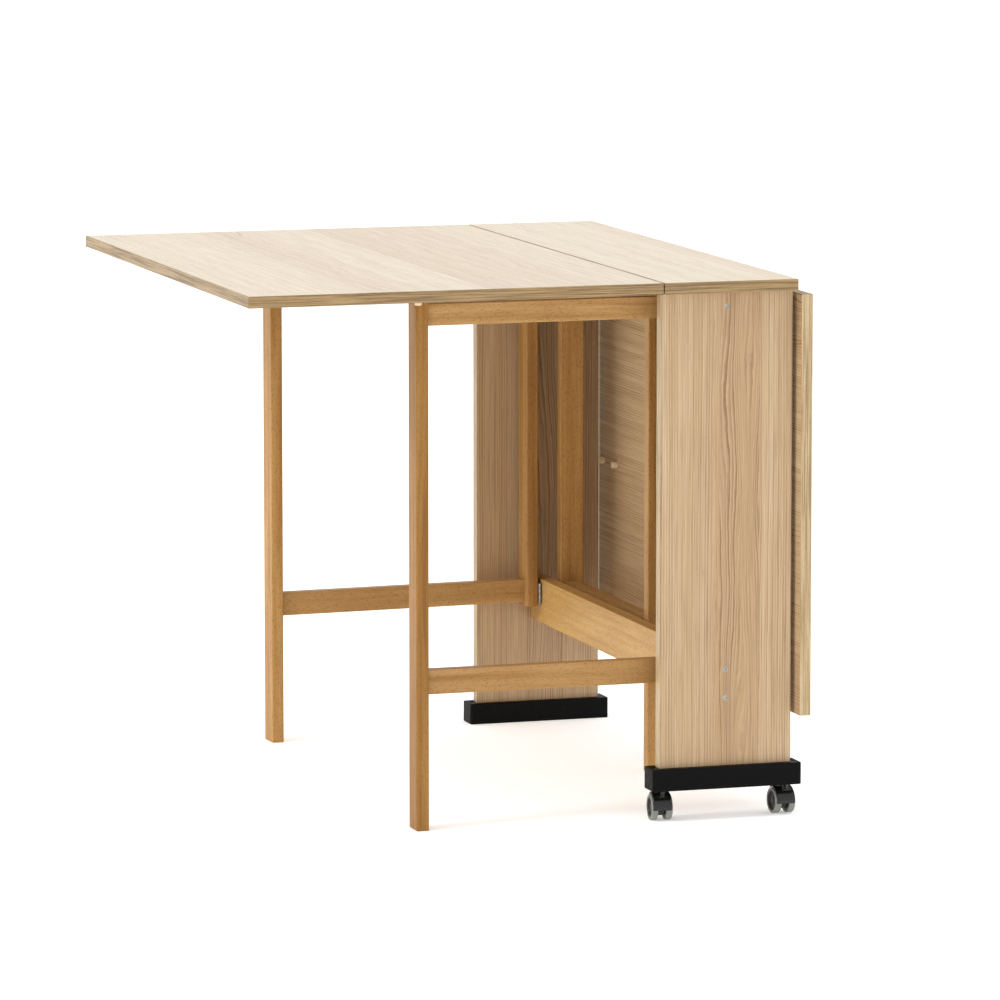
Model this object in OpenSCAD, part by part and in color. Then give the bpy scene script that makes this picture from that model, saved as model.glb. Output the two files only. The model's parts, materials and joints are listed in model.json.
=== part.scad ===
// Drop leaf table: a narrow fixed body on two end panels, two long leaves on
// butt hinges, and four swing-out gates that hold a raised leaf up.
// One leaf is raised on its two open gates, the other hangs with its gates folded.
// +Z is up, +Y runs along the table, and the raised leaf lies towards -X.

/* [Table top] */
// Height of the top face above the floor
table_h = 750; // [720:1:780]
// Thickness of the fixed top and of both leaves
board_t = 16; // [15:1:22]
// Length of the top and of both leaves, along Y
top_l = 902; // [880:1:1000]
// Width of the fixed top, along X
fixed_w = 194; // [188:1:200]
// Width of each leaf, from its joint to its free edge
leaf_w = 587; // [560:1:600]
// Gap between the fixed top and a raised leaf
leaf_gap = 1.5; // [1.2:0.1:2.5]

/* [End panels and feet] */
// Width of each end panel
panel_w = 192; // [186:1:194]
// Thickness of each end panel
panel_t = 18; // [16:1:20]
// How far the top runs past each end panel
overhang = 20; // [14:1:26]
// Length of each foot bar, along X
foot_l = 218; // [212:1:228]
// Depth of each foot bar, along Y
foot_d = 40; // [36:1:46]
// Height of each foot bar
foot_h = 31; // [28:1:36]
// Depth of the slot that the end panel stands in
slot_depth = 12; // [8:1:14]

/* [Stretchers] */
// Thickness of both stretchers
stretcher_t = 20; // [18:1:22]
// Height of the low stretcher's lower edge above the floor
low_stretcher_z = 156; // [150:1:160]
// Depth of the low stretcher
low_stretcher_h = 66; // [62:1:72]
// Depth of the top stretcher
top_stretcher_h = 42; // [38:1:46]

/* [Gates] */
// Reach of a gate from its hinge axis to the outer face of its leg
gate_w = 423; // [416:1:424]
// Thickness of a leg or stile, along the gate
post_t = 18; // [17:1:20]
// Width of a leg or stile, across the gate
post_w = 36; // [34:1:38]
// Height of a gate's low rail
low_rail_h = 34; // [30:1:36]
// Height of a gate's top rail
top_rail_h = 30; // [28:1:31]
// Thickness of a gate rail
rail_t = 18; // [16:1:20]
// Distance of the gate hinge axes from the middle of the table, along Y
gate_hinge_y = 362; // [358:1:364]

/* [Casters] */
// Height of a caster, from the floor to the near foot
caster_h = 44; // [42:1:50]
// Radius of a caster wheel
wheel_r = 18; // [16:0.5:18]
// Distance of each caster from the middle of the foot
caster_x = 90; // [82:1:94]
// How far the axle trails behind the swivel axis
caster_trail = 10; // [8:1:11]

/* [Position at rest] */
// How far the open gate at the caster end is folded in, in degrees
near_gate_fold = 0; // [0:1:4]
// How far the open gate at the other end is folded in, in degrees
far_gate_fold = 3; // [0:1:4]
// How far the upper folded gate is folded in, in degrees
stacked_gate_fold = 84; // [80:1:84]
// Turn of the caster under the raised leaf, in degrees
left_caster_turn = -6; // [-180:1:180]
// Turn of the caster under the hanging leaf, in degrees
right_caster_turn = 2; // [-180:1:180]

/* [Hidden] */

// Sides and ends, used as multipliers on X and Y
LEFT = -1;
RIGHT = 1;
NEAR = -1;
FAR = 1;

LAMINATE = "BurlyWood";
BEECH = "Peru";
BLACK = "#202020";
STEEL = "Silver";
GREY = "#82827a";

// Smooth rounds on true cylinders
$fn = 48;
// Overlap that keeps a cut clean, and the slack round a pin, screw or tenon
EPS = 0.5;
FIT = 0.05;

// Table top
under_top_z = table_h - board_t;
top_half_l = top_l / 2;
leaf_axis_x = fixed_w / 2 + leaf_gap / 2;
leaf_axis_drop = 4.5;
leaf_axis_z = under_top_z - leaf_axis_drop;

// End panels and feet
panel_out_y = top_half_l - overhang;
panel_in_y = panel_out_y - panel_t;
panel_mid_y = panel_out_y - panel_t / 2;
near_foot_z = caster_h;
far_foot_z = 0;
foot_corner_r = 4;
slot_slack = 0.2;
top_stretcher_z = under_top_z - top_stretcher_h;

// Panel screws: cross-recessed, two in the low stretcher and one in the top one
panel_screw_l = 50;
panel_screw_zs = [
    low_stretcher_z + 13,
    low_stretcher_z + low_stretcher_h - 13,
    under_top_z - top_stretcher_h / 2
];
dowel_r = 4;
dowel_l = 30;
dowel_in_top = 10;
dowel_x = 64;

// Leaf hinges, in the frame of one leaf: u runs out from the axis, z up from it
leaf_hinge_ys = [-340, -120, 120, 340];
leaf_hinge_l = 60;
leaf_plate_t = 1.6;
leaf_plate_u0 = 4;
leaf_plate_u1 = 30;
leaf_knuckle_r = 3;
leaf_pin_r = 1.4;
leaf_knuckles = 5;
knuckle_gap = 0.4;
leaf_screw_u = 18;
leaf_screw_ys = [-20, 20];

// Pegs under the leaves, beside the place where the top of a leg stands
peg_r = 5;
peg_l = 8;
peg_socket = 8;
peg_u = 337;
peg_inner_y = 346;
peg_outer_y = 406;

// Gates, in the frame of one gate: u runs along it from the hinge axis, v across it
gate_axis_x = stretcher_t / 2 + 3;
leg_clearance = 0.3;
stile_u = 3;
stile_z0 = 182;
stile_z1 = under_top_z - 2;
low_rail_z = 188;
top_rail_z1 = leaf_axis_z - leaf_knuckle_r - 1;
rail_v = (post_w - rail_t) / 2;
tenon_l = 10;
tenon_t = 8;
tenon_h = 24;

// Gate hinges
gate_hinge_h = 30;
gate_hinge_zs = [low_rail_z - 2, under_top_z - 5 - gate_hinge_h];
gate_plate_t = 1;
gate_plate_w = 22;
gate_knuckle_r = 2.5;
gate_pin_r = 1;
gate_screw_v = 14;
gate_screw_dzs = [7, 23];

// Casters, in the frame of one caster: the axle runs along x, behind the stem at y = trail
web_half_w = 4.5;
web_r = 12;
wheel_x0 = 5.5;
wheel_w = 9.5;
hub_boss_x0 = 4.8;
hub_boss_r = 4.5;
rim_r = 14;
tread_shoulder_r = 1.5;
axle_r = 2;
axle_half_l = 12;
hood_gap = 1.3;
hood_t = 2.2;
hood_half_w = 13.5;
hood_r0 = wheel_r + hood_gap;
hood_shoulder = 1.6;
hood_r1 = hood_r0 + hood_t;
// The guard's arc round the axle, from straight down and through the back:
// it starts 30 degrees behind the top and ends just below the axle at the front
hood_start = 150;
hood_sweep = 125;
neck_r = 5.5;
neck_z0 = 30;
neck_z1 = near_foot_z - 1.5;
stem_r = 3;
stem_low_z = 20;
stem_flange_r = 5.5;
stem_flange_z = neck_z1 + 0.5;
stem_top_r = 4;
stem_in_foot = 17;

// The origin is the middle of the footprint of the whole table, on the floor
hanging_leaf_out_x = leaf_axis_x + leaf_axis_drop + board_t;
raised_leaf_tip_x = leaf_axis_x + leaf_gap / 2 + leaf_w;
frame_shift = (raised_leaf_tip_x - hanging_leaf_out_x) / 2;

module in_frame() translate([frame_shift, 0, 0]) children();

// ---------------------------------------------------------------- shared shapes

// A block between two corners
module block(from, to) translate(from) cube(to - from);

// A bar with round upright corners, centred on x and y
module rounded_bar(length, depth, height, corner_r) {
    linear_extrude(height) {
        square([length - 2 * corner_r, depth], center = true);
        square([length, depth - 2 * corner_r], center = true);
        for (sx = [-1, 1], sy = [-1, 1])
            translate([sx * (length / 2 - corner_r), sy * (depth / 2 - corner_r)])
                circle(corner_r);
    }
}

// A countersunk screw: its head's face is at z = 0 and it points down
module screw(head_r, shank_r, length) {
    head_h = head_r - shank_r;
    recess_w = head_r * 0.3;
    recess_l = head_r * 1.1;
    difference() {
        rotate_extrude()
            polygon([
                [0, 0], [head_r, 0], [shank_r, -head_h],
                [shank_r, -length + shank_r], [0, -length]
            ]);
        for (a = [0, 90])
            rotate(a)
                translate([0, 0, -head_h * 0.6 / 2 + EPS / 2])
                    cube([recess_l, recess_w, head_h * 0.6 + EPS], center = true);
    }
}

// The space that such a screw takes, for cutting its hole
module screw_hole(head_r, shank_r, length) {
    head_h = head_r - shank_r;
    hole_r = shank_r + FIT;
    rotate_extrude()
        polygon([
            [0, EPS], [head_r + FIT, EPS], [head_r + FIT, 0],
            [hole_r, -head_h], [hole_r, -length - FIT], [0, -length - FIT]
        ]);
}

module panel_screw() screw(3.6, 2, panel_screw_l);
module panel_screw_hole() screw_hole(3.6, 2, panel_screw_l);
module leaf_screw() screw(3, 1.6, 12);
module leaf_screw_hole() screw_hole(3, 1.6, 12);
module gate_screw() screw(2.6, 1.6, 8);
module gate_screw_hole() screw_hole(2.6, 1.6, 8);

// ---------------------------------------------------------------- placing

// Mirrors a shape built for the right side on to the left one
module sided(side) {
    if (side == LEFT) mirror([1, 0, 0]) children();
    else children();
}

// Mirrors a shape built for the far end on to the near one
module ended(end) {
    if (end == NEAR) mirror([0, 1, 0]) children();
    else children();
}

// Every panel screw, pointing in from the outer faces of the end panels
module at_panel_screws()
    for (end = [NEAR, FAR], z = panel_screw_zs)
        ended(end)
            translate([0, panel_out_y, z])
                rotate([-90, 0, 0])
                    children();

// Every dowel, from its lower end
module at_dowels()
    for (end = [NEAR, FAR], side = [LEFT, RIGHT])
        translate([side * dowel_x, end * panel_mid_y, under_top_z + dowel_in_top - dowel_l])
            children();

// The frame of a leaf's hinge axis, with the leaf dropped by an angle
module on_leaf(side, drop)
    sided(side)
        translate([leaf_axis_x, 0, leaf_axis_z])
            rotate([0, drop, 0])
                children();

module at_leaf_hinges()
    for (y = leaf_hinge_ys)
        translate([0, y, 0])
            children();

// The screws of one leaf hinge plate, pointing up
module at_leaf_screws()
    at_leaf_hinges()
        for (y = leaf_screw_ys)
            translate([leaf_screw_u, y, leaf_axis_drop - leaf_plate_t])
                rotate([180, 0, 0])
                    children();

// The frame of a gate's hinge axis, with the gate folded in by an angle
module on_gate(side, end, fold)
    sided(side)
        ended(end)
            translate([gate_axis_x, gate_hinge_y, 0])
                rotate(-fold)
                    children();

// The four places of a gate hinge axis
module at_gate_hinges()
    for (side = [LEFT, RIGHT], end = [NEAR, FAR])
        on_gate(side, end, 0)
            children();

// The screws of a gate's two flaps, pointing along the gate
module at_gate_screws()
    for (z = gate_hinge_zs, dz = gate_screw_dzs)
        translate([stile_u - gate_plate_t, gate_screw_v, z + dz])
            rotate([0, -90, 0])
                children();

// The frame of a caster's stem, with the caster turned about it
module on_caster(side, turn)
    translate([side * caster_x, -panel_mid_y, 0])
        rotate(turn)
            children();

// The axle of a caster, with the axis of what is turned on it along z
module on_axle()
    translate([0, caster_trail, wheel_r])
        rotate([0, 90, 0])
            children();

// ---------------------------------------------------------------- fixed body

module fixed_top() color(LAMINATE) in_frame() difference() {
    block([-fixed_w / 2, -top_half_l, under_top_z], [fixed_w / 2, top_half_l, table_h]);
    for (side = [LEFT, RIGHT])
        on_leaf(side, 0) mirror([1, 0, 0]) at_leaf_screws() leaf_screw_hole();
    at_dowels() cylinder(r = dowel_r + FIT, h = dowel_l + FIT);
}

// An end panel, standing in the slot of a foot whose sole is at foot_z
module end_panel(end, foot_z) color(LAMINATE) in_frame() difference() {
    ended(end)
        block([-panel_w / 2, panel_in_y, foot_z + foot_h - slot_depth],
              [panel_w / 2, panel_out_y, under_top_z]);
    at_panel_screws() panel_screw_hole();
    at_dowels() translate([0, 0, -FIT]) cylinder(r = dowel_r + FIT, h = dowel_l);
}

module near_end_panel() end_panel(NEAR, near_foot_z);
module far_end_panel() end_panel(FAR, far_foot_z);

// A stretcher between the end panels, with the holes for its screws
module stretcher(z, height) color(BEECH) in_frame() difference() {
    block([-stretcher_t / 2, -panel_in_y, z], [stretcher_t / 2, panel_in_y, z + height]);
    at_panel_screws() panel_screw_hole();
    at_gate_hinges() mirror([1, 0, 0]) at_gate_screws() gate_screw_hole();
}

module low_stretcher() stretcher(low_stretcher_z, low_stretcher_h);
module top_stretcher() stretcher(top_stretcher_z, top_stretcher_h);

// A foot bar with the slot for its end panel
module foot(end, z) translate([0, end * panel_mid_y, z]) difference() {
    rounded_bar(foot_l, foot_d, foot_h, foot_corner_r);
    block([-panel_w / 2 - slot_slack, -panel_t / 2 - slot_slack, foot_h - slot_depth],
          [panel_w / 2 + slot_slack, panel_t / 2 + slot_slack, foot_h + EPS]);
}

module near_foot() color(BLACK) in_frame() difference() {
    foot(NEAR, near_foot_z);
    for (side = [LEFT, RIGHT])
        on_caster(side, 0)
            translate([0, 0, near_foot_z - EPS])
                cylinder(r = stem_top_r + FIT, h = stem_in_foot + EPS + FIT);
}

module far_foot() color(BLACK) in_frame() foot(FAR, far_foot_z);

module panel_screws() color(STEEL) in_frame() at_panel_screws() panel_screw();

module top_dowels() color(BEECH) in_frame() at_dowels() cylinder(r = dowel_r, h = dowel_l);

// ---------------------------------------------------------------- leaf hinges

// One plate of a leaf hinge, with its share of the knuckles
module leaf_hinge_half(knuckles) {
    knuckle_l = (leaf_hinge_l - (leaf_knuckles - 1) * knuckle_gap) / leaf_knuckles;
    plate_w0 = leaf_axis_drop - leaf_plate_t;
    difference() {
        union() {
            block([leaf_plate_u0, -leaf_hinge_l / 2, plate_w0],
                  [leaf_plate_u1, leaf_hinge_l / 2, leaf_axis_drop]);
            for (k = knuckles)
                translate([0, -leaf_hinge_l / 2 + k * (knuckle_l + knuckle_gap), 0]) {
                    rotate([-90, 0, 0]) cylinder(r = leaf_knuckle_r, h = knuckle_l);
                    block([0, 0, plate_w0], [leaf_plate_u0 + EPS, knuckle_l, leaf_axis_drop]);
                }
        }
        translate([0, -leaf_hinge_l / 2 - EPS, 0])
            rotate([-90, 0, 0])
                cylinder(r = leaf_pin_r + FIT, h = leaf_hinge_l + 2 * EPS);
        for (y = leaf_screw_ys)
            translate([leaf_screw_u, y, plate_w0]) rotate([180, 0, 0]) leaf_screw_hole();
    }
}

module leaf_hinge_plates() color(STEEL) in_frame()
    for (side = [LEFT, RIGHT])
        on_leaf(side, 0) mirror([1, 0, 0]) at_leaf_hinges() leaf_hinge_half([0, 2, 4]);

module leaf_hinge_pins() color(STEEL) in_frame()
    for (side = [LEFT, RIGHT])
        on_leaf(side, 0) at_leaf_hinges()
            translate([0, -leaf_hinge_l / 2, 0])
                rotate([-90, 0, 0])
                    cylinder(r = leaf_pin_r, h = leaf_hinge_l);

module leaf_hinge_plate_screws() color(STEEL) in_frame()
    for (side = [LEFT, RIGHT])
        on_leaf(side, 0) mirror([1, 0, 0]) at_leaf_screws() leaf_screw();

// ---------------------------------------------------------------- leaves

module leaf(side, drop, peg_ys) color(LAMINATE) in_frame() on_leaf(side, drop) difference() {
    block([leaf_gap / 2, -top_half_l, leaf_axis_drop],
          [leaf_gap / 2 + leaf_w, top_half_l, leaf_axis_drop + board_t]);
    at_leaf_screws() leaf_screw_hole();
    for (y = peg_ys)
        translate([peg_u, y, leaf_axis_drop - EPS])
            cylinder(r = peg_r + FIT, h = peg_socket + EPS + FIT);
}

// Pegs with a small chamfer at their free end
module leaf_pegs(side, drop, peg_ys) color("Cornsilk") in_frame() on_leaf(side, drop)
    for (y = peg_ys)
        translate([peg_u, y, leaf_axis_drop - peg_l])
            rotate_extrude()
                polygon([
                    [0, 0], [peg_r - 1, 0], [peg_r, 1],
                    [peg_r, peg_l + peg_socket], [0, peg_l + peg_socket]
                ]);

module leaf_flaps(side, drop) color(STEEL) in_frame() on_leaf(side, drop)
    at_leaf_hinges() leaf_hinge_half([1, 3]);

module leaf_flap_screws(side, drop) color(STEEL) in_frame() on_leaf(side, drop)
    at_leaf_screws() leaf_screw();

HANGING = 90;
RAISED = 0;
outer_pegs = [-peg_outer_y, peg_outer_y];
all_pegs = [-peg_outer_y, -peg_inner_y, peg_inner_y, peg_outer_y];

module left_leaf() leaf(LEFT, RAISED, outer_pegs);
module left_leaf_hinge_flaps() leaf_flaps(LEFT, RAISED);
module left_leaf_hinge_screws() leaf_flap_screws(LEFT, RAISED);
module left_leaf_pegs() leaf_pegs(LEFT, RAISED, outer_pegs);
module right_leaf() leaf(RIGHT, HANGING, all_pegs);
module right_leaf_hinge_flaps() leaf_flaps(RIGHT, HANGING);
module right_leaf_hinge_screws() leaf_flap_screws(RIGHT, HANGING);
module right_leaf_pegs() leaf_pegs(RIGHT, HANGING, all_pegs);

// ---------------------------------------------------------------- gate hinges

// One plate of a gate hinge: the lower or the upper knuckle is its own
module gate_hinge_half(knuckle) {
    knuckle_l = (gate_hinge_h - knuckle_gap) / 2;
    knuckle_z = knuckle * (knuckle_l + knuckle_gap);
    plate_u0 = stile_u - gate_plate_t;
    plate_v0 = 2;
    difference() {
        union() {
            block([plate_u0, plate_v0, 0], [stile_u, gate_plate_w, gate_hinge_h]);
            translate([0, 0, knuckle_z]) {
                cylinder(r = gate_knuckle_r, h = knuckle_l);
                block([plate_u0, 0, 0], [stile_u, plate_v0 + EPS, knuckle_l]);
            }
        }
        translate([0, 0, -EPS]) cylinder(r = gate_pin_r + FIT, h = gate_hinge_h + 2 * EPS);
        for (dz = gate_screw_dzs)
            translate([plate_u0, gate_screw_v, dz]) rotate([0, -90, 0]) gate_screw_hole();
    }
}

module gate_hinge_plates() color(STEEL) in_frame()
    at_gate_hinges()
        for (z = gate_hinge_zs)
            translate([0, 0, z]) mirror([1, 0, 0]) gate_hinge_half(0);

module gate_hinge_pins() color(STEEL) in_frame()
    at_gate_hinges()
        for (z = gate_hinge_zs)
            translate([0, 0, z]) cylinder(r = gate_pin_r, h = gate_hinge_h);

module gate_hinge_plate_screws() color(STEEL) in_frame()
    at_gate_hinges() mirror([1, 0, 0]) at_gate_screws() gate_screw();

// ---------------------------------------------------------------- gates

// The tenon at one end of a rail, with slack round it where it cuts its mortise
module tenon(u, z, height, slack)
    block([u - slack, (post_w - tenon_t) / 2 - slack, z + (height - tenon_h) / 2 - slack],
          [u + tenon_l + slack, (post_w + tenon_t) / 2 + slack,
           z + (height + tenon_h) / 2 + slack]);

// The tenons of both rails, starting at one distance from the hinge axis
module tenons(u, slack) {
    tenon(u, low_rail_z, low_rail_h, slack);
    tenon(u, top_rail_z1 - top_rail_h, top_rail_h, slack);
}

module leg() color(BEECH) difference() {
    block([gate_w - post_t, 0, 0], [gate_w, post_w, under_top_z - leg_clearance]);
    tenons(gate_w - post_t, FIT);
}

module stile() color(BEECH) difference() {
    block([stile_u, 0, stile_z0], [stile_u + post_t, post_w, stile_z1]);
    tenons(stile_u + post_t - tenon_l, FIT);
    at_gate_screws() gate_screw_hole();
}

module rail(z, height) color(BEECH) {
    u0 = stile_u + post_t;
    u1 = gate_w - post_t;
    block([u0, rail_v, z], [u1, rail_v + rail_t, z + height]);
    tenon(u0 - tenon_l, z, height, 0);
    tenon(u1, z, height, 0);
}

module low_rail() rail(low_rail_z, low_rail_h);
module top_rail() rail(top_rail_z1 - top_rail_h, top_rail_h);

module gate_flaps() color(STEEL)
    for (z = gate_hinge_zs) translate([0, 0, z]) gate_hinge_half(1);

module gate_flap_screws() color(STEEL) at_gate_screws() gate_screw();

module left_near_gate() in_frame() on_gate(LEFT, NEAR, near_gate_fold) children();
module left_far_gate() in_frame() on_gate(LEFT, FAR, far_gate_fold) children();
module right_near_gate() in_frame() on_gate(RIGHT, NEAR, stacked_gate_fold) children();
module right_far_gate() in_frame() on_gate(RIGHT, FAR, 90) children();

module left_near_leg() left_near_gate() leg();
module left_near_stile() left_near_gate() stile();
module left_near_top_rail() left_near_gate() top_rail();
module left_near_low_rail() left_near_gate() low_rail();
module left_near_hinge_flaps() left_near_gate() gate_flaps();
module left_near_hinge_screws() left_near_gate() gate_flap_screws();

module left_far_leg() left_far_gate() leg();
module left_far_stile() left_far_gate() stile();
module left_far_top_rail() left_far_gate() top_rail();
module left_far_low_rail() left_far_gate() low_rail();
module left_far_hinge_flaps() left_far_gate() gate_flaps();
module left_far_hinge_screws() left_far_gate() gate_flap_screws();

module right_near_leg() right_near_gate() leg();
module right_near_stile() right_near_gate() stile();
module right_near_top_rail() right_near_gate() top_rail();
module right_near_low_rail() right_near_gate() low_rail();
module right_near_hinge_flaps() right_near_gate() gate_flaps();
module right_near_hinge_screws() right_near_gate() gate_flap_screws();

module right_far_leg() right_far_gate() leg();
module right_far_stile() right_far_gate() stile();
module right_far_top_rail() right_far_gate() top_rail();
module right_far_low_rail() right_far_gate() low_rail();
module right_far_hinge_flaps() right_far_gate() gate_flaps();
module right_far_hinge_screws() right_far_gate() gate_flap_screws();

// ---------------------------------------------------------------- casters

module caster_stems() color(STEEL) in_frame()
    for (side = [LEFT, RIGHT])
        on_caster(side, 0) {
            translate([0, 0, stem_low_z]) cylinder(r = stem_r, h = stem_flange_z - stem_low_z);
            translate([0, 0, stem_flange_z])
                cylinder(r = stem_flange_r, h = near_foot_z - stem_flange_z);
            translate([0, 0, near_foot_z]) cylinder(r = stem_top_r, h = stem_in_foot);
        }

// The guard's section: a thin strip with its outer corners cut back
module guard_section() {
    side_r = hood_r1 - hood_shoulder;
    flat_half_w = hood_half_w - hood_shoulder;
    polygon([
        [hood_r0, -hood_half_w], [side_r, -hood_half_w], [hood_r1, -flat_half_w],
        [hood_r1, flat_half_w], [side_r, hood_half_w], [hood_r0, hood_half_w]
    ]);
}

// A curved guard over both wheels, on the web between them that holds axle and stem
module hood() color(BLACK) difference() {
    union() {
        on_axle() rotate(hood_start) rotate_extrude(angle = hood_sweep) {
            guard_section();
            translate([0, -web_half_w]) square([hood_r0 + EPS, 2 * web_half_w]);
        }
        on_axle() cylinder(r = web_r, h = 2 * web_half_w, center = true);
        translate([0, 0, neck_z0]) cylinder(r = neck_r, h = neck_z1 - neck_z0);
    }
    on_axle() cylinder(r = axle_r + FIT, h = 2 * web_half_w + 2 * EPS, center = true);
    translate([0, 0, stem_low_z - EPS])
        cylinder(r = stem_r + FIT, h = neck_z1 - stem_low_z + 2 * EPS);
}

module axle() color(STEEL) on_axle() cylinder(r = axle_r, h = 2 * axle_half_l, center = true);

// The wheel on the side that the axle's own z points to; the other one is its mirror
module wheel_side(side) on_axle() {
    if (side == LEFT) mirror([0, 0, 1]) children();
    else children();
}

// A dished wheel with a closed face over the end of the axle
module wheel(side) color(BLACK) wheel_side(side) rotate_extrude() {
    face = wheel_x0 + wheel_w;
    bore_end = axle_half_l + 0.3;
    polygon([
        [axle_r + FIT, hub_boss_x0], [hub_boss_r, hub_boss_x0],
        [hub_boss_r, wheel_x0], [rim_r, wheel_x0],
        [rim_r, face - 0.7], [rim_r - 1.5, face], [rim_r - 3.5, face - 1.4],
        [0, face - 1.4], [0, bore_end], [axle_r + FIT, bore_end]
    ]);
}

// A soft tread ring with rounded shoulders
module tread(side) color(GREY) wheel_side(side) rotate_extrude() {
    face = wheel_x0 + wheel_w;
    shoulder_r = tread_shoulder_r;
    translate([rim_r, wheel_x0]) square([wheel_r - rim_r - shoulder_r, wheel_w]);
    translate([rim_r, wheel_x0 + shoulder_r])
        square([wheel_r - rim_r, wheel_w - 2 * shoulder_r]);
    for (x = [wheel_x0 + shoulder_r, face - shoulder_r])
        translate([wheel_r - shoulder_r, x]) circle(shoulder_r);
}

module left_caster() in_frame() on_caster(LEFT, left_caster_turn) children();
module right_caster() in_frame() on_caster(RIGHT, right_caster_turn) children();

module left_caster_hood() left_caster() hood();
module left_caster_axle() left_caster() axle();
module left_caster_wheel_a() left_caster() wheel(LEFT);
module left_caster_wheel_b() left_caster() wheel(RIGHT);
module left_caster_tread_a() left_caster() tread(LEFT);
module left_caster_tread_b() left_caster() tread(RIGHT);

module right_caster_hood() right_caster() hood();
module right_caster_axle() right_caster() axle();
module right_caster_wheel_a() right_caster() wheel(LEFT);
module right_caster_wheel_b() right_caster() wheel(RIGHT);
module right_caster_tread_a() right_caster() tread(LEFT);
module right_caster_tread_b() right_caster() tread(RIGHT);

// ---------------------------------------------------------------- nodes

fixed_top();
near_end_panel();
far_end_panel();
low_stretcher();
top_stretcher();
near_foot();
far_foot();
panel_screws();
top_dowels();
leaf_hinge_plates();
leaf_hinge_pins();
leaf_hinge_plate_screws();
gate_hinge_plates();
gate_hinge_pins();
gate_hinge_plate_screws();
caster_stems();
left_leaf();
left_leaf_hinge_flaps();
left_leaf_hinge_screws();
left_leaf_pegs();
right_leaf();
right_leaf_hinge_flaps();
right_leaf_hinge_screws();
right_leaf_pegs();
left_near_leg();
left_near_stile();
left_near_top_rail();
left_near_low_rail();
left_near_hinge_flaps();
left_near_hinge_screws();
left_far_leg();
left_far_stile();
left_far_top_rail();
left_far_low_rail();
left_far_hinge_flaps();
left_far_hinge_screws();
right_near_leg();
right_near_stile();
right_near_top_rail();
right_near_low_rail();
right_near_hinge_flaps();
right_near_hinge_screws();
right_far_leg();
right_far_stile();
right_far_top_rail();
right_far_low_rail();
right_far_hinge_flaps();
right_far_hinge_screws();
left_caster_hood();
left_caster_axle();
left_caster_wheel_a();
left_caster_wheel_b();
left_caster_tread_a();
left_caster_tread_b();
right_caster_hood();
right_caster_axle();
right_caster_wheel_a();
right_caster_wheel_b();
right_caster_tread_a();
right_caster_tread_b();
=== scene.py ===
"""Looks of the drop leaf table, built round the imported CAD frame."""
import json
import math

import bmesh
import bpy
from mathutils import Matrix, Vector


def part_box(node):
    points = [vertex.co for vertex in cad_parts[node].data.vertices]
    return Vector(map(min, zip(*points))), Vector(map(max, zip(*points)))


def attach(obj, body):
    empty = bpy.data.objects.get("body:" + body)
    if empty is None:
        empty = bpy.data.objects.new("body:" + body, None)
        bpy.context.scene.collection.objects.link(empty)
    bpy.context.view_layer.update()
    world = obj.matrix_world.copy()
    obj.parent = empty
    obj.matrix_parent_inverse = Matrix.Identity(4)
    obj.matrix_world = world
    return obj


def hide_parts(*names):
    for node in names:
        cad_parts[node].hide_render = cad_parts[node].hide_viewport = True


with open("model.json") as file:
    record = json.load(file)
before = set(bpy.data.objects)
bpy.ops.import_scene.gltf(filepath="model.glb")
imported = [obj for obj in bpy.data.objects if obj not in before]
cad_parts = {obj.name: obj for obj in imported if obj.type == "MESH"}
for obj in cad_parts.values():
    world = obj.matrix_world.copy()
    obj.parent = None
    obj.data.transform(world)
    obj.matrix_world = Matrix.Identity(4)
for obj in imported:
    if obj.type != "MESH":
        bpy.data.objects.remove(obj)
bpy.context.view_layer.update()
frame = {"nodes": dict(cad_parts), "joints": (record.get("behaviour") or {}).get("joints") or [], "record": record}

MM = 0.001
JOINTS = {joint["name"]: joint for joint in frame["joints"]}
BODY_OF = {
    node: body
    for body, nodes in frame["record"]["behaviour"]["bodies"].items()
    for node in nodes
}

# ------------------------------------------------------------------ camera

CAMERA_PLACE = Vector((-2.67378, -8.7382, 1.6523))
CAMERA_YAW = math.radians(17.618)
CAMERA_PITCH = math.radians(7.817)
CAMERA_LENS = 232.6
CAMERA_SHIFT_X = -0.0052
CAMERA_SHIFT_Y = 0.002
SENSOR_WIDTH = 36
VIEW_DEPTH = 300


def make_camera():
    """The photograph's view, fitted to the corners of the table."""
    camera = bpy.data.objects.new("camera", bpy.data.cameras.new("camera"))
    bpy.context.scene.collection.objects.link(camera)
    camera.location = CAMERA_PLACE
    camera.rotation_euler = (math.pi / 2 - CAMERA_PITCH, 0, -CAMERA_YAW)
    camera.data.lens = CAMERA_LENS
    camera.data.sensor_width = SENSOR_WIDTH
    camera.data.shift_x = CAMERA_SHIFT_X
    camera.data.shift_y = CAMERA_SHIFT_Y
    camera.data.clip_end = VIEW_DEPTH
    bpy.context.scene.camera = camera


# ------------------------------------------------------------------ shaders

WEAR_SAMPLES = 4
WEAR_FLAT = 0.98
WEAR_ROUND = 0.80


def tone(code):
    """The linear colour of a screen colour given as six hex digits."""
    values = [int(code[i:i + 2], 16) / 255 for i in (0, 2, 4)]
    return tuple(
        v / 12.92 if v <= 0.04045 else ((v + 0.055) / 1.055) ** 2.4 for v in values
    ) + (1,)


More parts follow.
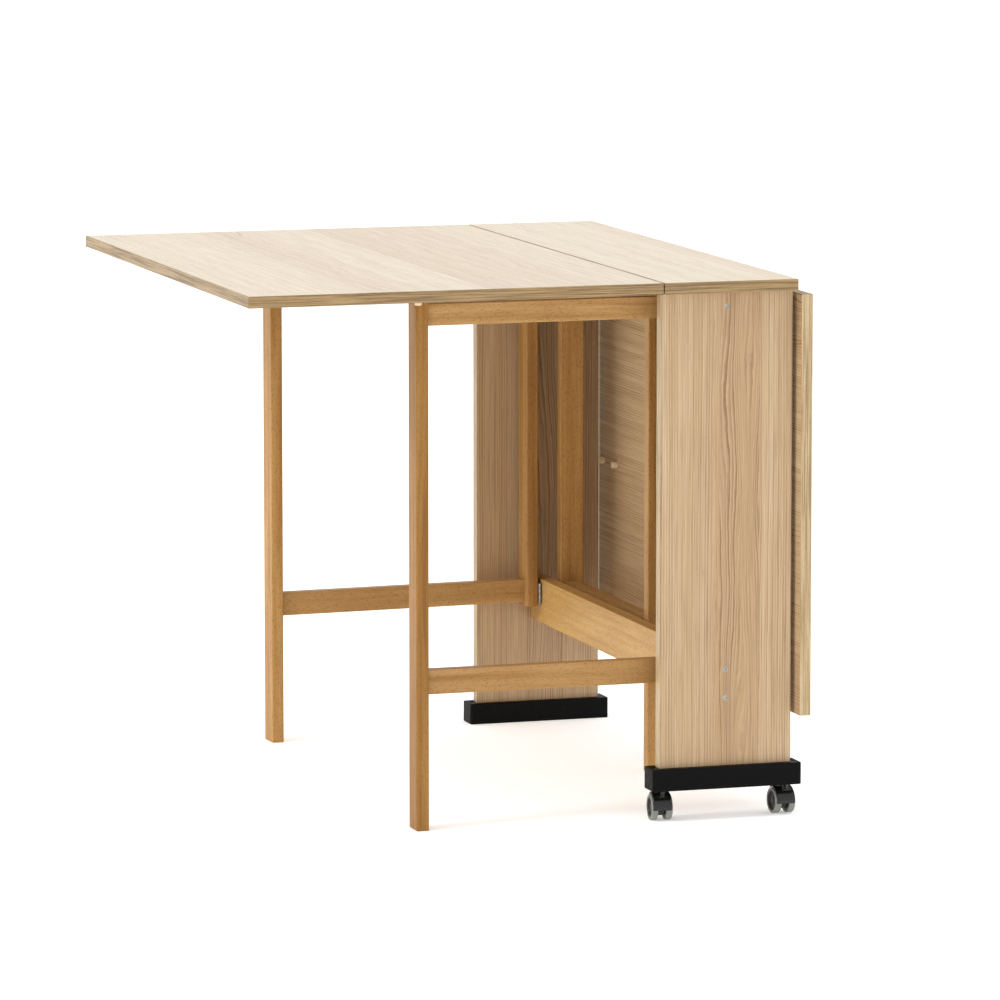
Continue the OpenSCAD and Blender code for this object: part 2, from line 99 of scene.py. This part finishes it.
class Shader:
    """A material under construction, with one short call for each kind of node."""

    def __init__(self, name):
        self.material = bpy.data.materials.new(name)
        self.material.use_nodes = True
        self.tree = self.material.node_tree
        self.tree.nodes.clear()
        self.place = self.tree.nodes.new("ShaderNodeTexCoord").outputs["Object"]

    def put(self, socket, value):
        """Links a node's output to a socket, or sets the socket to a constant."""
        if isinstance(value, bpy.types.NodeSocket):
            self.tree.links.new(value, socket)
        else:
            socket.default_value = value

    def node(self, kind, inputs, output=0, **settings):
        """Adds a node, and gives back one of its outputs."""
        made = self.tree.nodes.new(kind)
        for key, value in settings.items():
            setattr(made, key, value)
        for key, value in inputs.items():
            self.put(made.inputs[key], value)
        return made.outputs[output]

    def math(self, operation, *values):
        return self.node("ShaderNodeMath", dict(enumerate(values)), operation=operation)

    def axes(self):
        """The object's own X, Y and Z."""
        split = self.tree.nodes.new("ShaderNodeSeparateXYZ")
        self.put(split.inputs[0], self.place)
        return list(split.outputs)

    def vector(self, x, y, z):
        return self.node("ShaderNodeCombineXYZ", {0: x, 1: y, 2: z})

    def noise(self, place, scale, detail=2.0, roughness=0.5):
        return self.node("ShaderNodeTexNoise", {
            "Vector": place, "Scale": scale, "Detail": detail, "Roughness": roughness,
        })

    def streaks(self, axes, pace, detail=2.0, roughness=0.5):
        """Noise that changes pace[i] times in a metre along axes[i]."""
        place = self.vector(*(self.math("MULTIPLY", a, k) for a, k in zip(axes, pace)))
        return self.noise(place, 1, detail, roughness)

    def spread(self, value, low, high, to_low=0.0, to_high=1.0):
        """Eases value over low to high into to_low to to_high."""
        return self.node("ShaderNodeMapRange", {
            "Value": value, "From Min": low, "From Max": high,
            "To Min": to_low, "To Max": to_high,
        }, interpolation_type="SMOOTHSTEP")

    def mix(self, amount, first, second):
        """Fades from the first colour to the second."""
        made = self.tree.nodes.new("ShaderNodeMix")
        made.data_type = "RGBA"
        self.put(made.inputs[0], amount)
        self.put(made.inputs[6], first)
        self.put(made.inputs[7], second)
        return made.outputs[2]

    def chance(self, value):
        """Three random numbers, the same wherever value is the same."""
        made = self.tree.nodes.new("ShaderNodeTexWhiteNoise")
        made.noise_dimensions = "1D"
        self.put(made.inputs["W"], value)
        split = self.tree.nodes.new("ShaderNodeSeparateColor")
        self.put(split.inputs[0], made.outputs["Color"])
        return list(split.outputs)

    def edge_wear(self, color, pale, radius, amount):
        """Lightens convex edges, where the finish has rubbed."""
        bevel = self.tree.nodes.new("ShaderNodeBevel")
        bevel.samples = WEAR_SAMPLES
        self.put(bevel.inputs["Radius"], radius)
        geometry = self.tree.nodes.new("ShaderNodeNewGeometry")
        turned = self.node("ShaderNodeVectorMath", {
            0: bevel.outputs[0], 1: geometry.outputs["Normal"],
        }, output="Value", operation="DOT_PRODUCT")
        worn = self.spread(turned, WEAR_FLAT, WEAR_ROUND, 0.0, amount)
        return self.mix(worn, color, pale)

    def finish(self, color, roughness, height=None, depth=0.0, **constants):
        """Ends in a Principled shader, with a bump depth metres deep where height is given."""
        shader = self.tree.nodes.new("ShaderNodeBsdfPrincipled")
        self.put(shader.inputs["Base Color"], color)
        self.put(shader.inputs["Roughness"], roughness)
        for key, value in constants.items():
            self.put(shader.inputs[key.replace("_", " ")], value)
        if height is not None:
            bump = self.node("ShaderNodeBump", {
                "Height": height, "Distance": depth, "Strength": 1.0,
            })
            self.put(shader.inputs["Normal"], bump)
        output = self.tree.nodes.new("ShaderNodeOutputMaterial")
        self.put(output.inputs["Surface"], shader.outputs[0])
        return self.material


# A laminate print of ash. Its growth rings run along the board as stripes, and they lean,
# crowd together and close into long arches inside the stronger planks of the print.
RING_PITCH = 0.0038
FINE_PITCH = 0.0012
BROAD_PITCH = FINE_PITCH * 7
PORE_PITCH = FINE_PITCH * 0.5
ARCH_SWAY = 0.042
CALM_SWAY = 0.006
FLUTTER = 0.0036
LAMINATE_RELIEF = 0.00005
PORE_TONE = "735335"

# The looks of one laminate print in three places: the tops face the sky and get paler tones, a painted sky light,
# and the hanging leaf is seen from inside and gets darker tones, a painted shade
PANEL_ASH = {
    "pale": "CFB591", "mid": "BB9B73", "dark": "805F3E", "rosy": "B8956F",
    "line_strength": 0.85, "roughness": 0.42, "gloss": 0.5,
}
# Paler tones for the tops: painted sky light on the same laminate as the panels
TOP_ASH_PAINTED_SKYLIGHT = {
    "pale": "DDCFB5", "mid": "D0BE9E", "dark": "A38865", "rosy": "CFB699",
    "line_strength": 0.8, "roughness": 0.28, "gloss": 0.5,
}
# Darker tones for the hanging leaf: painted shade on the same laminate as the other boards
HANGING_ASH_PAINTED_SHADE = {
    "pale": "CDB48E", "mid": "BC9E76", "dark": "886644", "rosy": "B99771",
    "line_strength": 0.85, "roughness": 0.62, "gloss": 0.08,
}


def ash(name, along, across, plank, first, seed, look, strong=None):
    """Ash laminate with its grain along one axis and its planks side by side on another.

    plank is the width of a plank, first the edge of one of them, and look the tones of the
    print, which hold painted sky light for the tops and painted shade for the hanging leaf. strong is the middle
    and the half width of the one plank that shows arches.
    Without it, each plank shows them more or less by chance."""
    s = Shader(name)
    pale, mid, dark, rosy = (tone(look[key]) for key in ("pale", "mid", "dark", "rosy"))
    xyz = s.axes()
    run = xyz["XYZ".index(along)]
    side = xyz["XYZ".index(across)]
    index = s.math("FLOOR", s.math("DIVIDE", s.math("SUBTRACT", side, first), plank))
    luck = s.chance(s.math("ADD", index, seed))
    if strong is None:
        show = s.spread(luck[2], 0.3, 0.9)
    else:
        away = s.math("ABSOLUTE", s.math("SUBTRACT", side, strong[0]))
        show = s.spread(away, strong[1] * 0.8, strong[1] * 1.25, 1.0, 0.0)
    # How far each ring strays sideways: a long lazy sway, and a little flutter
    shift = s.math("MULTIPLY", luck[0], 9.0)
    slow = s.noise(s.vector(s.math("ADD", s.math("MULTIPLY", run, 2.6), shift),
                            s.math("MULTIPLY", side, 21.0), seed), 1, 1)
    quick = s.noise(s.vector(s.math("MULTIPLY", run, 26.0),
                             s.math("MULTIPLY", side, 110.0), seed), 1, 2)
    reach = s.spread(show, 0.0, 1.0, CALM_SWAY, ARCH_SWAY)
    sway = s.math("MULTIPLY", s.math("SUBTRACT", slow, 0.5), reach)
    wave = s.math("MULTIPLY", s.spread(show, 0.0, 1.0, 0.3, 1.0), FLUTTER)
    flutter = s.math("MULTIPLY", s.math("SUBTRACT", quick, 0.5), wave)
    moved = s.math("ADD", side, s.math("ADD", sway, flutter))
    # A ring darkens slowly and ends in a sharp line, and rings differ in strength
    ring = s.math("DIVIDE", moved, RING_PITCH)
    phase = s.math("FRACT", ring)
    weight = s.chance(s.math("ADD", s.math("FLOOR", ring), seed))
    late = s.math("MULTIPLY", s.spread(phase, 0.15, 0.85), s.spread(phase, 1.0, 0.9))
    late = s.math("MULTIPLY", late, s.spread(weight[0], 0.0, 1.0, 0.25, 1.0))
    late = s.math("MULTIPLY", late, s.spread(show, 0.0, 1.0, 0.62, 1.0))
    # Fibres, shades and pores: streaks that follow the rings
    fine = s.noise(s.vector(s.math("MULTIPLY", run, 9.0),
                            s.math("DIVIDE", moved, FINE_PITCH), seed), 1, 3, 0.6)
    broad = s.noise(s.vector(s.math("MULTIPLY", run, 2.5),
                             s.math("DIVIDE", moved, BROAD_PITCH), seed + 3), 1, 2)
    pore = s.noise(s.vector(s.math("MULTIPLY", run, 80.0),
                            s.math("DIVIDE", moved, PORE_PITCH), seed + 5), 1, 1)
    pore = s.math("MULTIPLY", s.spread(pore, 0.55, 0.75), s.math("ADD", late, 0.2))
    base = s.mix(s.spread(luck[1], 0.2, 0.8, 0.0, 0.6), pale, rosy)
    base = s.mix(s.math("MULTIPLY", show, 0.45), base, rosy)
    base = s.mix(s.spread(broad, 0.35, 0.65, 0.0, 0.65), base, mid)
    base = s.mix(s.spread(fine, 0.42, 0.72, 0.0, 0.5), base, dark)
    base = s.mix(s.math("MULTIPLY", late, look["line_strength"]), base, dark)
    base = s.mix(s.math("MULTIPLY", pore, 0.4), base, tone(PORE_TONE))
    rough = s.spread(fine, 0.2, 0.8, look["roughness"] - 0.06, look["roughness"] + 0.08)
    height = s.math("SUBTRACT", s.math("MULTIPLY", fine, -0.6), pore)
    return s.finish(base, rough, height, LAMINATE_RELIEF, Specular_IOR_Level=look["gloss"])


def edge_band(name, along, seed, pale, dark):
    """Edge banding: fine streaks along the edge, a little darker than the faces."""
    s = Shader(name)
    xyz = s.axes()
    run = xyz["XYZ".index(along)]
    sides = [xyz[i] for i in range(3) if i != "XYZ".index(along)]
    streak = s.streaks((run, *sides), (9, 800, 800), 4, 0.7)
    cloud = s.noise(s.vector(s.math("MULTIPLY", run, 3), seed, 0), 1, 2)
    fleck = s.streaks((run, *sides), (70, 900, 900), 1)
    base = s.mix(s.spread(streak, 0.4, 0.6), tone(pale), tone(dark))
    base = s.mix(s.spread(cloud, 0.35, 0.65, 0.0, 0.35), base, tone(pale))
    base = s.mix(s.spread(fleck, 0.6, 0.75, 0.0, 0.4), base, tone("70553A"))
    base = s.edge_wear(base, tone("D8BE98"), 0.0008, 0.35)
    rough = s.spread(streak, 0.3, 0.7, 0.4, 0.52)
    return s.finish(base, rough, streak, LAMINATE_RELIEF)


def joint_line(name):
    """The thin line of glue and dirt where a band meets a face."""
    s = Shader(name)
    grime = s.noise(s.place, 300, 2)
    base = s.mix(grime, tone("7A5E40"), tone("5E4730"))
    return s.finish(base, s.spread(grime, 0.3, 0.7, 0.5, 0.7))


BEECH_RELIEF = 0.00008
BEECH_GLOSS = 0.12


def beech(name, along, pale="C2985F", mid="AC8048", dark="8C6134"):
    """Lacquered beech: straight, faint grain with short darker flecks along it.

    Each piece has its own shade and its own stretch of the grain."""
    s = Shader(name)
    xyz = s.axes()
    luck = s.node("ShaderNodeObjectInfo", {}, output="Random")
    shift = s.math("MULTIPLY", luck, 7)
    run = s.math("ADD", xyz["XYZ".index(along)], shift)
    sides = [xyz[i] for i in range(3) if i != "XYZ".index(along)]
    lean = s.noise(s.vector(s.math("MULTIPLY", run, 1.7), shift, 0), 1, 1)
    lean = s.math("MULTIPLY", s.math("SUBTRACT", lean, 0.5), 0.02)
    grain = (run, s.math("ADD", sides[0], lean), s.math("ADD", sides[1], lean))
    band = s.streaks(grain, (2.2, 110, 110), 3, 0.55)
    fibre = s.streaks(grain, (30, 900, 900), 2)
    cloud = s.streaks(grain, (6, 20, 20), 2)
    cells = s.vector(*(s.math("MULTIPLY", a, k) for a, k in zip(grain, (130, 650, 650))))
    fleck = s.node("ShaderNodeTexVoronoi", {
        "Vector": cells, "Scale": 1.0, "Randomness": 1.0,
    }, output="Distance")
    base = s.mix(s.spread(band, 0.3, 0.7), tone(pale), tone(mid))
    base = s.mix(s.spread(band, 0.58, 0.66, 0.0, 0.3), base, tone(dark))
    base = s.mix(s.spread(fibre, 0.45, 0.8, 0.0, 0.35), base, tone(dark))
    base = s.mix(s.spread(cloud, 0.3, 0.7, 0.0, 0.3), base, tone(dark))
    base = s.mix(s.spread(luck, 0.0, 1.0, 0.0, 0.22), base, tone(dark))
    base = s.mix(s.spread(fleck, 0.34, 0.12, 0.0, 0.75), base, tone("795028"))
    base = s.edge_wear(base, tone("E2C08E"), 0.0015, 0.4)
    rough = s.spread(fibre, 0.2, 0.8, 0.34, 0.5)
    return s.finish(base, rough, fibre, BEECH_RELIEF, Specular_IOR_Level=BEECH_GLOSS)


def moulding(name, color, worn, roughness, grain, depth, gloss):
    """Moulded plastic with a fine texture, faint scuffs and rubbed edges."""
    s = Shader(name)
    texture = s.noise(s.place, grain, 3, 0.6)
    scuff = s.noise(s.place, 160, 4, 0.7)
    dust = s.noise(s.place, 30, 3, 0.6)
    base = s.mix(s.spread(texture, 0.35, 0.7, 0.0, 0.35), tone(color), tone(worn))
    base = s.mix(s.spread(dust, 0.5, 0.75, 0.0, 0.25), base, tone(worn))
    base = s.edge_wear(base, tone(worn), 0.001, 0.8)
    rough = s.spread(scuff, 0.3, 0.75, roughness - 0.06, roughness + 0.12)
    return s.finish(base, rough, texture, depth, Specular_IOR_Level=gloss)


def zinc(name):
    """Bright zinc plate: a cool metal with a cloudy surface and fine marks."""
    s = Shader(name)
    cloud = s.noise(s.place, 260, 3, 0.6)
    mark = s.noise(s.place, 1800, 2, 0.5)
    base = s.mix(s.spread(cloud, 0.35, 0.7), tone("A8A8A4"), tone("7C7C76"))
    base = s.mix(s.spread(mark, 0.55, 0.8, 0.0, 0.4), base, tone("54544E"))
    base = s.edge_wear(base, tone("C9CBCA"), 0.0004, 0.6)
    rough = s.spread(mark, 0.3, 0.7, 0.24, 0.42)
    return s.finish(base, rough, mark, 0.00002, Metallic=1.0)


def rubber(name):
    """A soft grey tread, dusty and slightly pitted, and paler along its edges."""
    s = Shader(name)
    pit = s.noise(s.place, 1400, 3, 0.6)
    dust = s.noise(s.place, 120, 3, 0.6)
    base = s.mix(s.spread(pit, 0.35, 0.7), tone("8E928A"), tone("75786F"))
    base = s.mix(s.spread(dust, 0.45, 0.7, 0.0, 0.5), base, tone("A3A69C"))
    base = s.edge_wear(base, tone("BDC0B6"), 0.0008, 0.6)
    rough = s.spread(dust, 0.3, 0.7, 0.6, 0.8)
    return s.finish(base, rough, pit, 0.00005, Specular_IOR_Level=0.3)


def cream(name):
    """Cream pegs with a close, slightly cloudy grain."""
    s = Shader(name)
    grain = s.noise(s.place, 900, 3, 0.6)
    cloud = s.noise(s.place, 200, 2, 0.5)
    base = s.mix(s.spread(grain, 0.35, 0.7), tone("F0DFBC"), tone("DDC394"))
    base = s.mix(s.spread(cloud, 0.45, 0.7, 0.0, 0.4), base, tone("CDAF7E"))
    base = s.edge_wear(base, tone("FAF0DA"), 0.0006, 0.5)
    rough = s.spread(grain, 0.3, 0.7, 0.4, 0.55)
    return s.finish(base, rough, grain, 0.00004)


# ------------------------------------------------------------------ meshes

WELD = 0.01 * MM
FLAT_ANGLE = math.radians(0.5)
SHARP_ANGLE = math.radians(30)
PROUD = 0.02 * MM
ON_AXIS = 0.001 * MM


def new_object(name, bm, material_list, place=None, smooth_angle=40):
    """An object made from a mesh, in the frame of place, with smooth shading on its curves."""
    mesh = bpy.data.meshes.new(name)
    bm.normal_update()
    bm.to_mesh(mesh)
    bm.free()
    made = bpy.data.objects.new(name, mesh)
    bpy.context.scene.collection.objects.link(made)
    for material in material_list:
        mesh.materials.append(material)
    if place is not None:
        made.matrix_world = place
    for polygon in mesh.polygons:
        polygon.use_smooth = True
    mesh.set_sharp_from_angle(angle=math.radians(smooth_angle))
    weighted = made.modifiers.new("weighted", "WEIGHTED_NORMAL")
    weighted.keep_sharp = True
    return made


def welded(node, place=None):
    """A CAD node's mesh with its triangles joined into flat faces, in the frame of place."""
    bm = bmesh.new()
    bm.from_mesh(frame["nodes"][node].data)
    bmesh.ops.remove_doubles(bm, verts=bm.verts, dist=WELD)
    if place is not None:
        bmesh.ops.transform(bm, matrix=place.inverted(), verts=bm.verts)
    bmesh.ops.dissolve_limit(
        bm, angle_limit=FLAT_ANGLE, verts=bm.verts, edges=bm.edges
    )
    bm.normal_update()
    return bm


def islands(bm):
    """The separate closed pieces of a mesh, as lists of faces."""
    left = set(bm.faces)
    found = []
    while left:
        queue = [left.pop()]
        piece = []
        while queue:
            face = queue.pop()
            piece.append(face)
            for edge in face.edges:
                for other in edge.link_faces:
                    if other in left:
                        left.remove(other)
                        queue.append(other)
        found.append(piece)
    return found


def outer_edges(bm):
    """The sharp edges between two faces that nothing of their piece stands proud of."""
    found = []
    for faces in islands(bm):
        points = [v.co for v in {v for f in faces for v in f.verts}]
        proud = {}
        for face in faces:
            level = face.verts[0].co.dot(face.normal)
            proud[face] = max(p.dot(face.normal) for p in points) > level + PROUD
        for edge in {e for f in faces for e in f.edges}:
            pair = edge.link_faces
            if len(pair) != 2 or proud[pair[0]] or proud[pair[1]]:
                continue
            if pair[0].normal.angle(pair[1].normal) > SHARP_ANGLE:
                found.append(edge)
    return found


def stand_in(made, node):
    """Puts a new object in a CAD node's place, on the same body."""
    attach(made, BODY_OF[node])
    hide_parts(node)


def eased(node, width, segments, material_list, place=None, smooth=40, tag=None):
    """A new object for a CAD node, with its outer edges rounded over.

    tag, where given, sets which material each face has."""
    bm = welded(node, place)
    bmesh.ops.bevel(
        bm, geom=outer_edges(bm), offset=width, offset_type="OFFSET",
        segments=segments, profile=0.5, affect="EDGES", clamp_overlap=True,
    )
    if tag is not None:
        tag(bm)
    stand_in(new_object(node + ".eased", bm, material_list, place, smooth), node)


def lathe(bm, outline, steps, turn):
    """Turns an outline of (radius, height) points round Z and then places it with turn.

    An outline that starts off the axis is closed round into a ring."""
    rings = []
    for radius, height in outline:
        if radius < ON_AXIS:
            rings.append([bm.verts.new((0, 0, height))])
            continue
        rings.append([
            bm.verts.new((
                radius * math.cos(math.tau * i / steps),
                radius * math.sin(math.tau * i / steps),
                height,
            ))
            for i in range(steps)
        ])
    pairs = list(zip(rings, rings[1:]))
    if len(rings[0]) > 1:
        pairs.append((rings[-1], rings[0]))
    for low, high in pairs:
        for i in range(steps):
            j = (i + 1) % steps
            corners = [low[i % len(low)], low[j % len(low)],
                       high[j % len(high)], high[i % len(high)]]
            corners = list(dict.fromkeys(corners))
            if len(corners) > 2:
                bm.faces.new(corners)
    bmesh.ops.transform(bm, matrix=turn, verts=[v for ring in rings for v in ring])


# ------------------------------------------------------------------ boards

BAND_T = 1.2 * MM
BAND_LINE = 0.25 * MM
BOARD_EASE = 0.9 * MM
EASE_STEPS = 3
FIXED_PLANK = 0.078
LEAF_PLANK = 0.084


def banded_board(node, thin, edges, materials):
    """A laminated board: two faces, banding on its edges, and the thin line where they meet.

    thin is the axis of its thickness and edges the axes across its banded edges.
    materials are the face, the joint line, and the banding with its grain along X, Y and Z."""
    low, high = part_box(node)

    def tag(bm):
        for axis in edges:
            for bound, sign in ((low[axis], 1), (high[axis], -1)):
                for inset in (BAND_T, BAND_T + BAND_LINE):
                    point = Vector((0, 0, 0))
                    point[axis] = bound + sign * inset
                    normal = Vector((0, 0, 0))
                    normal[axis] = 1
                    bmesh.ops.bisect_plane(
                        bm, geom=bm.verts[:] + bm.edges[:] + bm.faces[:],
                        plane_co=point, plane_no=normal, dist=ON_AXIS,
                    )
        bm.normal_update()
        for face in bm.faces:
            middle = face.calc_center_median()
            gaps = {a: min(middle[a] - low[a], high[a] - middle[a]) for a in edges}
            nearest = min(gaps, key=gaps.get)
            run = ({0, 1, 2} - {thin, nearest}).pop()
            if gaps[nearest] < BAND_T:
                face.material_index = 2 + run
            elif gaps[nearest] < BAND_T + BAND_LINE:
                face.material_index = 1
            else:
                face.material_index = 0

    eased(node, BOARD_EASE, EASE_STEPS, materials, tag=tag)


def make_boards():
    trim = [
        joint_line("joint_line"),
        edge_band("band_x", "X", 2.0, "AA8C5E", "654E2F"),
        edge_band("band_y", "Y", 5.0, "A58A60", "644D30"),
        edge_band("band_z", "Z", 8.0, "C8B088", "92764F"),
    ]
    # The tops take the paler tones, a painted sky light
    for node, seed, plank in (("fixed_top", 11.0, FIXED_PLANK), ("left_leaf", 23.0, LEAF_PLANK)):
        face = ash(node + "_ash", "Y", "X", plank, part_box(node)[0].x, seed, TOP_ASH_PAINTED_SKYLIGHT)
        banded_board(node, 2, (0, 1), [face] + trim)
    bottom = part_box("right_leaf")[0].z
    # The hanging leaf takes the darker tones, a painted shade, on both its faces
    face = ash("right_leaf_ash_painted_shade", "Y", "Z", LEAF_PLANK, bottom, 31.0, HANGING_ASH_PAINTED_SHADE)
    banded_board("right_leaf", 0, (1, 2), [face] + trim)
    # The print on both end panels has one plank with arches, right of the middle
    low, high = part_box("near_end_panel")
    wide = high.x - low.x
    arches = (low.x + wide * 0.58, wide * 0.17)
    for node, seed in (("near_end_panel", 41.0), ("far_end_panel", 57.0)):
        face = ash(node + "_ash", "Z", "X", wide * 0.3, low.x + wide * 0.15, seed,
                   PANEL_ASH, arches)
        banded_board(node, 1, (0,), [face] + trim)


# ------------------------------------------------------------------ posts, rails and stretchers

POST_EASE = 1.6 * MM
RAIL_EASE = 1.2 * MM
GATES = ("left_near", "left_far", "right_near", "right_far")


def dress(node, material):
    """Gives a CAD node, carried over as it is, its material."""
    materials = frame["nodes"][node].data.materials
    materials.clear()
    materials.append(material)


def middle_of(node):
    low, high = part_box(node)
    return (low + high) / 2


def gate_place(gate):
    """The frame of a gate as it stands at rest: its hinge axis is Z and it reaches along X."""
    anchor = Vector(JOINTS[gate + "_gate_hinge"]["pos_m"])
    reach = middle_of(gate + "_leg") - middle_of(gate + "_stile")
    turn = Matrix.Rotation(math.atan2(reach.y, reach.x), 4, "Z")
    return Matrix.Translation((anchor.x, anchor.y, 0)) @ turn


def make_gates():
    upright = beech("beech_upright", "Z")
    deep = beech("beech_deep", "Z", pale="AA7E44", mid="946A34", dark="754C24")
    rail = beech("beech_rail", "X", pale="C29A65", mid="AF8650")
    for gate in GATES:
        place = gate_place(gate)
        for part in ("_leg", "_stile"):
            wood = deep if gate + part == "left_near_leg" else upright
            eased(gate + part, POST_EASE, EASE_STEPS, [wood], place)
        for part in ("_top_rail", "_low_rail"):
            eased(gate + part, RAIL_EASE, EASE_STEPS, [rail], place)
    stretcher = beech("beech_stretcher", "Y", pale="CCA568", mid="C0975B", dark="AA8049")
    for node in ("low_stretcher", "top_stretcher"):
        eased(node, RAIL_EASE, EASE_STEPS, [stretcher])
    dress("top_dowels", upright)


# ------------------------------------------------------------------ feet, pegs and metal

FOOT_EASE = 1.5 * MM
PEG_EASE = 0.5 * MM
METAL_WORDS = ("screw", "hinge", "stems", "axle")


def make_small_parts():
    foot = moulding("foot_satin", "090909", "121213", 0.5, 900, 0.00006, 0.08)
    for node in ("near_foot", "far_foot"):
        eased(node, FOOT_EASE, EASE_STEPS, [foot], smooth=50)
    peg = cream("peg_wood")
    for node in ("left_leaf_pegs", "right_leaf_pegs"):
        eased(node, PEG_EASE, 2, [peg], smooth=50)
    metal = zinc("zinc_plate")
    for node in frame["nodes"]:
        if any(word in node for word in METAL_WORDS):
            dress(node, metal)


# ------------------------------------------------------------------ casters

WHEEL_R = 18 * MM
RIM_R = 13.95 * MM
WHEEL_X0 = 5.5 * MM
WHEEL_X1 = 15 * MM
TREAD_SHOULDER = 1.8 * MM
HOOD_EASE = 0.45 * MM
WHEEL_STEPS = 96


def rounded(points, radius, steps):
    """A closed outline with each corner rounded."""
    done = []
    count = len(points)
    for i in range(count):
        before, corner, after = (Vector(points[(i + k) % count]) for k in (-1, 0, 1))
        to_before, to_after = (before - corner), (after - corner)
        cut = min(radius, to_before.length * 0.45, to_after.length * 0.45)
        start = corner + to_before.normalized() * cut
        end = corner + to_after.normalized() * cut
        for k in range(steps + 1):
            t = k / steps
            done.append(start * (1 - t) ** 2 + corner * 2 * t * (1 - t) + end * t ** 2)
    return [tuple(p) for p in done]


def caster_place(side):
    """The frame of a caster at rest, and the middle of its axle in it.

    The swivel axis is Z and the axle trails along Y."""
    pivot = Vector(JOINTS[side + "_caster_swivel"]["pos_m"])
    axle = Vector(JOINTS[side + "_caster_wheel_a_spin"]["pos_m"])
    trail = axle - pivot
    turn = Matrix.Rotation(math.atan2(-trail.x, trail.y), 4, "Z")
    length = math.hypot(trail.x, trail.y)
    return Matrix.Translation((pivot.x, pivot.y, 0)) @ turn, Vector((0, length, axle.z))


# The wheel's disc, as (radius, distance from the middle of the caster) in millimetres:
# inner boss, inner face, rim, dished outer face and a low hub cap
DISC = (
    (0, 4.8), (4.2, 4.8), (4.5, 5.5), (12, 5.6), (13.9, 5.9), (13.9, 14.2), (13.5, 14.7),
    (12.9, 14.7), (12.4, 14.0), (11.4, 11.9), (9, 11.2), (6.4, 11.4), (5.4, 12.5),
    (4.6, 13.1), (2.8, 13.5), (0, 13.6),
)


def wheel(side, letter, place, axle, core_material, tread_material):
    """One twin wheel: a dished disc with a rim and a soft tread round it."""
    sign = -1 if letter == "a" else 1
    turn = Matrix.Translation(axle) @ Matrix.Rotation(sign * math.pi / 2, 4, "Y")
    core = bmesh.new()
    lathe(core, [(radius * MM, height * MM) for radius, height in DISC], WHEEL_STEPS, turn)
    tread = bmesh.new()
    outline = rounded([(RIM_R, WHEEL_X0), (WHEEL_R, WHEEL_X0), (WHEEL_R, WHEEL_X1),
                       (RIM_R, WHEEL_X1)], TREAD_SHOULDER, 5)
    lathe(tread, outline, WHEEL_STEPS, turn)
    for bm, part, material, slot in ((core, "wheel", core_material, "wheel_black"),
                                     (tread, "tread", tread_material, "tread_grey")):
        bmesh.ops.recalc_face_normals(bm, faces=bm.faces)
        node = f"{side}_caster_{part}_{letter}"
        stand_in(new_object(node + ".turned", bm, [material], place, 35), node)


def make_casters():
    hood = moulding("hood_gloss", "0D0D0C", "1C1C1A", 0.26, 500, 0.00003, 0.5)
    core = moulding("wheel_satin", "22211F", "383633", 0.4, 900, 0.00005, 0.4)
    tread = rubber("tread_rubber")
    for side in ("left", "right"):
        place, axle = caster_place(side)
        for letter in "ab":
            wheel(side, letter, place, axle, core, tread)
        eased(side + "_caster_hood", HOOD_EASE, 2, [hood], place, smooth=50)


# ------------------------------------------------------------------ studio

FLOOR_HALF = 90
FLOOR_GLOW = 0.3
SKY = 1.0
LIT_POINT = Vector((0, 0, 0.4))
# Each light's name, place, width and power
LIGHTS = (
    ("key", (-6.5, -1.6, 5.6), 2.2, 240),
    ("overhead", (0.6, 1.0, 6.5), 5.0, 60),
)


def make_studio():
    """A white floor and sky, and two soft lights."""
    floor = bmesh.new()
    bmesh.ops.create_grid(floor, x_segments=1, y_segments=1, size=FLOOR_HALF)
    s = Shader("floor_paper")
    fibre = s.noise(s.place, 3, 3)
    paper = s.finish(s.mix(fibre, tone("F8F8F8"), tone("FAFAFA")),
                     s.spread(fibre, 0.3, 0.7, 0.85, 0.95), Specular_IOR_Level=0.1)
    shader = paper.node_tree.nodes["Principled BSDF"]
    shader.inputs["Emission Color"].default_value = (1, 1, 1, 1)
    shader.inputs["Emission Strength"].default_value = FLOOR_GLOW
    new_object("floor", floor, [paper])
    world = bpy.data.worlds.new("studio")
    bpy.context.scene.world = world
    world.use_nodes = True
    background = world.node_tree.nodes["Background"]
    background.inputs["Color"].default_value = (1, 1, 1, 1)
    background.inputs["Strength"].default_value = SKY
    for name, place, size, power in LIGHTS:
        light = bpy.data.lights.new(name, "AREA")
        light.shape = "DISK"
        light.size = size
        light.energy = power
        lamp = bpy.data.objects.new(name, light)
        bpy.context.scene.collection.objects.link(lamp)
        lamp.location = place
        aim = LIT_POINT - Vector(place)
        lamp.rotation_euler = aim.to_track_quat("-Z", "Y").to_euler()
    view = bpy.context.scene.view_settings
    view.view_transform = "Standard"
    view.look = "None"
    view.exposure = 0
    view.gamma = 1


make_camera()
make_boards()
make_gates()
make_small_parts()
make_casters()
make_studio()
